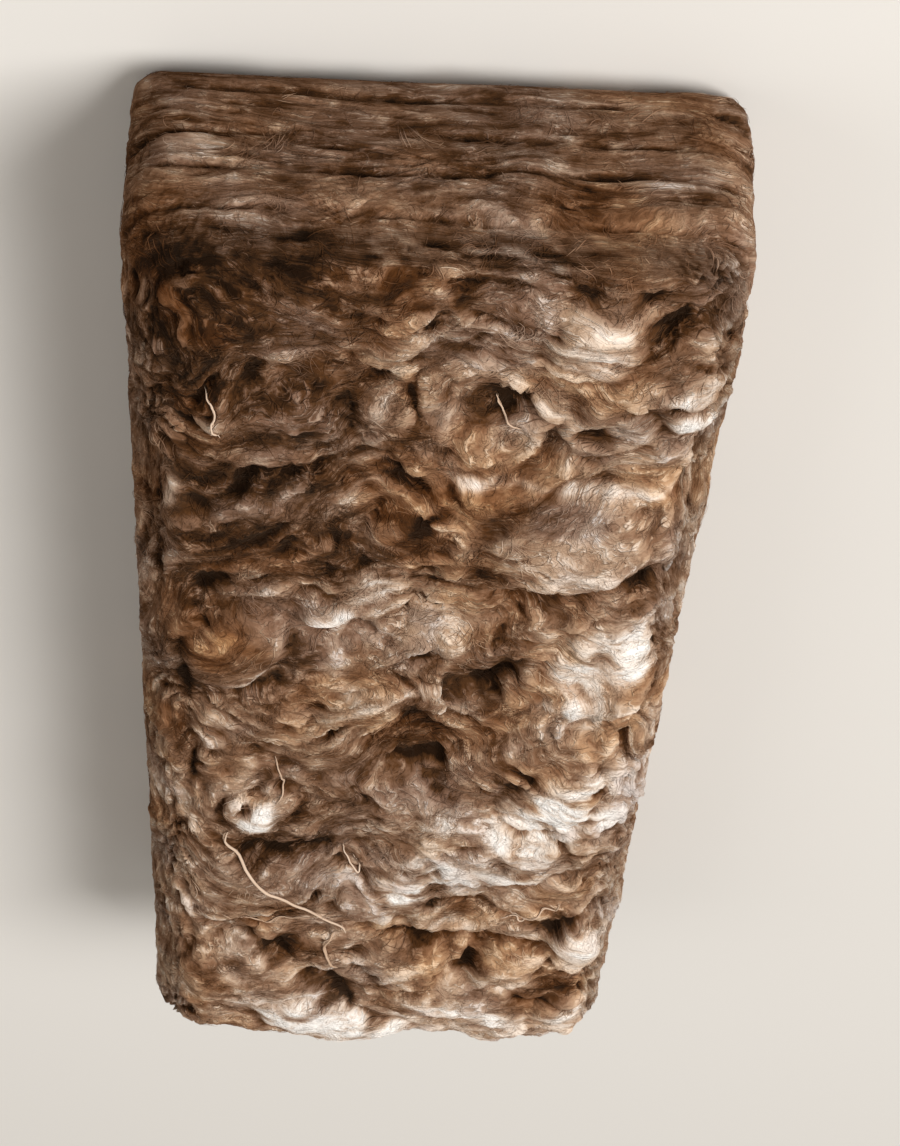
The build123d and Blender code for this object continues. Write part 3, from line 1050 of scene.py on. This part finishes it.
def combed_wool(colours):
    """Glass wool, spun, sprayed with brown binder and rumpled by handling.

    To the eye: matt and matted, with streaks about 2 mm wide and a centimetre long that swirl from
    tuft to tuft, near black in its hollows by painted shade, tan on its crests in part by painted
    highlight, and off-white where it is torn.
    """
    material, add = new_material("glass_wool_matted")
    place = add("ShaderNodeTexCoord", {}, "Object")
    flow = add("ShaderNodeUVMap", {}, "UV", uv_map="flow")
    tone, pale, warm = painted(add)
    swirl = {"Vector": place, "Scale": 1 / SWIRL_SIZE, "Detail": 2.0, "Roughness": 0.5}
    swirl = add("ShaderNodeTexNoise", swirl, "Color")
    flow = {0: swirl, 1: (SWIRL_REACH, SWIRL_REACH, 0), 2: flow}
    flow = add("ShaderNodeVectorMath", flow, operation="MULTIPLY_ADD")

    streaks = []
    for long, short, slant, detail in STREAKS:
        streak = add("ShaderNodeMapping", {"Vector": flow, "Rotation": (0, 0, slant)})
        apart = (long * 97, short * 997, 0)
        streak = {"Vector": streak, "Scale": (1 / long, 1 / short, 1), "Location": apart}
        streak = add("ShaderNodeMapping", streak)
        streak = {"Vector": streak, "Scale": 1.0, "Detail": detail, "Roughness": 0.6, "Distortion": 0.25}
        streaks.append(add("ShaderNodeTexNoise", streak, "Fac", noise_dimensions="2D"))
    fine = add("ShaderNodeMath", {0: streaks[0], 1: streaks[1]}, operation="MAXIMUM")
    coarse = streaks[2]
    cloudy = {"Vector": place, "Scale": 1 / CLOUD_SIZE, "Detail": 5.0, "Roughness": 0.62}
    cloudy = add("ShaderNodeTexNoise", cloudy, "Fac")

    # A wisp is 1 where its noise is at its middle and 0 past the half width, and the clouds break it
    wisps = []
    for long, short, slant, half in WISPS:
        wisp = {"Vector": flow, "Location": (long, short * 3, 0), "Rotation": (0, 0, slant)}
        wisp = add("ShaderNodeMapping", {**wisp, "Scale": (1 / long, 1 / short, 1)})
        wisp = {"Vector": wisp, "Scale": 1.0, "Detail": 3.0, "Roughness": 0.55, "Distortion": 0.4}
        wisp = add("ShaderNodeTexNoise", wisp, "Fac", noise_dimensions="2D")
        wisp = add("ShaderNodeMath", {0: wisp, 1: 0.5}, operation="SUBTRACT")
        wisp = add("ShaderNodeMath", {0: wisp}, operation="ABSOLUTE")
        wisp = {"Value": wisp, "From Min": 0.0, "From Max": half, "To Min": 1.0, "To Max": 0.0}
        wisps.append(add("ShaderNodeMapRange", wisp, interpolation_type="SMOOTHSTEP"))
    wisp = add("ShaderNodeMath", {0: wisps[0], 1: wisps[1]}, operation="MAXIMUM")
    broken = add("ShaderNodeMapRange", {"Value": cloudy, "From Min": 0.44, "From Max": 0.58})
    wisp = add("ShaderNodeMath", {0: wisp, 1: broken}, operation="MULTIPLY")
    tone = add("ShaderNodeMath", {0: wisp, 1: 0.26, 2: tone}, operation="MULTIPLY_ADD")

    # Each layer moves the tone by its share, about a middle of a half
    for share, layer in ((0.26, fine), (0.5, coarse), (0.55, cloudy)):
        off = add("ShaderNodeMath", {0: layer, 1: share, 2: -0.5 * share}, operation="MULTIPLY_ADD")
        tone = add("ShaderNodeMath", {0: off, 1: tone}, operation="ADD")
    bright = add("ShaderNodeMath", {0: fine, 1: coarse}, operation="ADD")
    bright = add("ShaderNodeMapRange", {"Value": bright, "From Min": 0.62, "From Max": 1.05})
    torn = add("ShaderNodeMath", {0: bright, 1: pale}, operation="MULTIPLY")

    relief = add("ShaderNodeMath", {0: fine, 1: 0.35, 2: coarse}, operation="MULTIPLY_ADD")
    relief = add("ShaderNodeMath", {0: relief, 1: cloudy}, operation="ADD")
    relief = add("ShaderNodeMath", {0: wisp, 1: 0.35, 2: relief}, operation="MULTIPLY_ADD")
    shader = add("ShaderNodeBsdfPrincipled", {
        "Base Color": wool_colour(add, tone, torn, warm, colours),
        "Normal": add("ShaderNodeBump", {"Height": relief, "Strength": 1.0, "Distance": RELIEF}),
        "Roughness": 0.95, "IOR": 1.5, "Specular IOR Level": 0.02,
        "Sheen Weight": 0.1, "Sheen Roughness": 0.6, "Sheen Tint": (*colours.tan, 1),
    })
    add("ShaderNodeOutputMaterial", {"Surface": shader})
    return material


def loose_wool(colours):
    """Fibres of the same glass wool that have come loose and cling together in threads.

    To the eye: matt, each in the tone that it was painted with, with darker and paler runs a
    centimetre or so long.
    """
    material, add = new_material("glass_wool_loose")
    strand = add("ShaderNodeUVMap", {}, "UV", uv_map="strand")
    tone, pale, warm = painted(add)
    run = add("ShaderNodeMapping", {"Vector": strand, "Scale": (1 / RUN_LENGTH, 1 / RUN_WIDTH, 1)})
    run = {"Vector": run, "Scale": 1.0, "Detail": 3.0, "Roughness": 0.6}
    run = add("ShaderNodeTexNoise", run, "Fac", noise_dimensions="2D")
    off = add("ShaderNodeMath", {0: run, 1: 0.18, 2: -0.09}, operation="MULTIPLY_ADD")
    tone = add("ShaderNodeMath", {0: off, 1: tone}, operation="ADD")
    shader = add("ShaderNodeBsdfPrincipled", {
        "Base Color": wool_colour(add, tone, pale, warm, colours),
        "Roughness": 0.9, "IOR": 1.5, "Specular IOR Level": 0.04,
        "Sheen Weight": 0.1, "Sheen Roughness": 0.5, "Sheen Tint": (*colours.tan, 1),
    })
    add("ShaderNodeOutputMaterial", {"Surface": shader})
    return material


MADE = {}  # What the mat's operator has worked out, which the locks' operator lays its fibres on


class MakeMat(bpy.types.Operator):
    """Makes the rumpled mat of wool that stands for the solid"""

    bl_idname = "batt.mat"
    bl_label = "Wool Mat"

    def execute(self, context):
        wool = MADE["wool"] = rumpled(context.scene.batt_mat)
        rows, columns = wool.face.shape
        index = np.arange(rows * columns).reshape(rows, columns)
        right = np.roll(index, -1, 1)
        quads = np.stack([index[:-1], index[1:], right[1:], right[:-1]], -1).reshape(-1, 4)
        first_pole, last_pole = rows * columns, rows * columns + 1
        triangles = np.concatenate([
            np.stack([index[0], right[0], np.full(columns, first_pole)], -1),
            np.stack([right[-1], index[-1], np.full(columns, last_pole)], -1),
        ])
        material = combed_wool(context.scene.batt_colours)
        piece = new_piece("wool_mat", with_poles(wool.grid), triangles, quads, material)
        lay_uv(piece, "flow", with_poles(wool.along[..., None]), with_poles(wool.across[..., None]))
        # tone holds the painted shade of the hollows and folds and the painted highlight of the crests
        for name, values in (("tone", wool.tone), ("pale", wool.pale), ("warm", wool.warm)):
            paint(piece, name, with_poles(values[..., None]))
        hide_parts(NODE)
        return {"FINISHED"}


class MakeLocks(bpy.types.Operator):
    """Lays locks, fuzz and threads of loose wool over the mat"""

    bl_idname = "batt.locks"
    bl_label = "Locks"

    def execute(self, context):
        if "wool" not in MADE:
            raise RuntimeError("The wool mat has to be made before its locks")
        material = loose_wool(context.scene.batt_colours)
        fibres = context.scene.batt_fibres
        for layer, (name, look) in enumerate(LAYERS.items()):
            sizes = {key: getattr(fibres, key)[layer] for key in ("bundles", "length", "width", "lift")}
            lay_strands(name, MADE["wool"], SimpleNamespace(**sizes, **look), LAYER_SEED + layer, material)
        lay_threads("wool_threads", MADE["wool"], material, THREAD_SEED)
        return {"FINISHED"}


class MakeStage(bpy.types.Operator):
    """Sets up the pale floor, the soft lights and the camera"""

    bl_idname = "batt.stage"
    bl_label = "Stage"

    def execute(self, context):
        stage = context.scene.batt_stage
        bpy.ops.mesh.primitive_plane_add(size=30, location=(0, 0, -0.0005))
        floor = context.object
        floor.name = "floor"
        material, add = new_material("floor_matt_paint")
        coat = add("ShaderNodeBsdfPrincipled", {"Base Color": (*stage.floor, 1), "Roughness": 0.8})
        add("ShaderNodeOutputMaterial", {"Surface": coat})
        floor.data.materials.append(material)

        world = bpy.data.worlds.new("room")
        world.use_nodes = True
        world.node_tree.nodes["Background"].inputs["Color"].default_value = (*stage.room, 1)
        world.node_tree.nodes["Background"].inputs["Strength"].default_value = stage.sky
        context.scene.world = world
        context.scene.view_settings.view_transform = "Standard"
        for name, power, place, size in (
            ("key", stage.key, (-5.2, -3.8, 6.2), 5.0),
            ("fill", stage.fill, (3.6, -1.2, 3.0), 3.2),
        ):
            light = bpy.data.lights.new(name, "AREA")
            light.energy = power
            light.size = size
            lamp = bpy.data.objects.new(name, light)
            lamp.location = place
            lamp.rotation_euler = (Vector((0, 0, 0.15)) - Vector(place)).to_track_quat("-Z", "Y").to_euler()
            context.scene.collection.objects.link(lamp)

        camera = bpy.data.cameras.new("camera")
        camera.sensor_fit = "HORIZONTAL"
        camera.sensor_width = 36
        camera.lens = stage.lens
        eye = bpy.data.objects.new("camera", camera)
        eye.location = (0.08, LOW[1] - 1.428, HIGH[2] - 0.01 + stage.height)
        eye.rotation_mode = "QUATERNION"
        look = (Vector((-0.03, -0.135, 0.12)) - eye.location).to_track_quat("-Z", "Y")
        # Half a turn about its line of sight puts the near end at the top of the picture
        eye.rotation_quaternion = look @ Quaternion((0, 0, 1), radians(180))
        context.scene.collection.objects.link(eye)
        context.scene.camera = eye
        return {"FINISHED"}


OPERATORS = (MakeMat, MakeLocks, MakeStage)


class BattPanel(bpy.types.Panel):
    """Lists the batt's pieces and their sizes"""

    bl_idname = "VIEW3D_PT_batt"
    bl_label = "Glass Wool Batt"
    bl_space_type = "VIEW_3D"
    bl_region_type = "UI"
    bl_category = "Batt"

    def draw(self, context):
        for operator in OPERATORS:
            self.layout.operator(operator.bl_idname)
        for name in GROUPS:
            group = getattr(context.scene, name)
            for key in group.bl_rna.properties.keys():
                if key not in ("rna_type", "name"):
                    self.layout.prop(group, key)


def register():
    """Registers the settings, the operators and the panel."""
    for name, group in GROUPS.items():
        bpy.utils.register_class(group)
        setattr(bpy.types.Scene, name, bpy.props.PointerProperty(type=group))
    for cls in (*OPERATORS, BattPanel):
        bpy.utils.register_class(cls)


def unregister():
    """Takes away what register added."""
    for cls in (BattPanel, *reversed(OPERATORS)):
        bpy.utils.unregister_class(cls)
    for name, group in GROUPS.items():
        delattr(bpy.types.Scene, name)
        bpy.utils.unregister_class(group)


def main():
    register()
    bpy.ops.batt.mat()
    bpy.ops.batt.locks()
    bpy.ops.batt.stage()


if __name__ == "__main__":
    main()
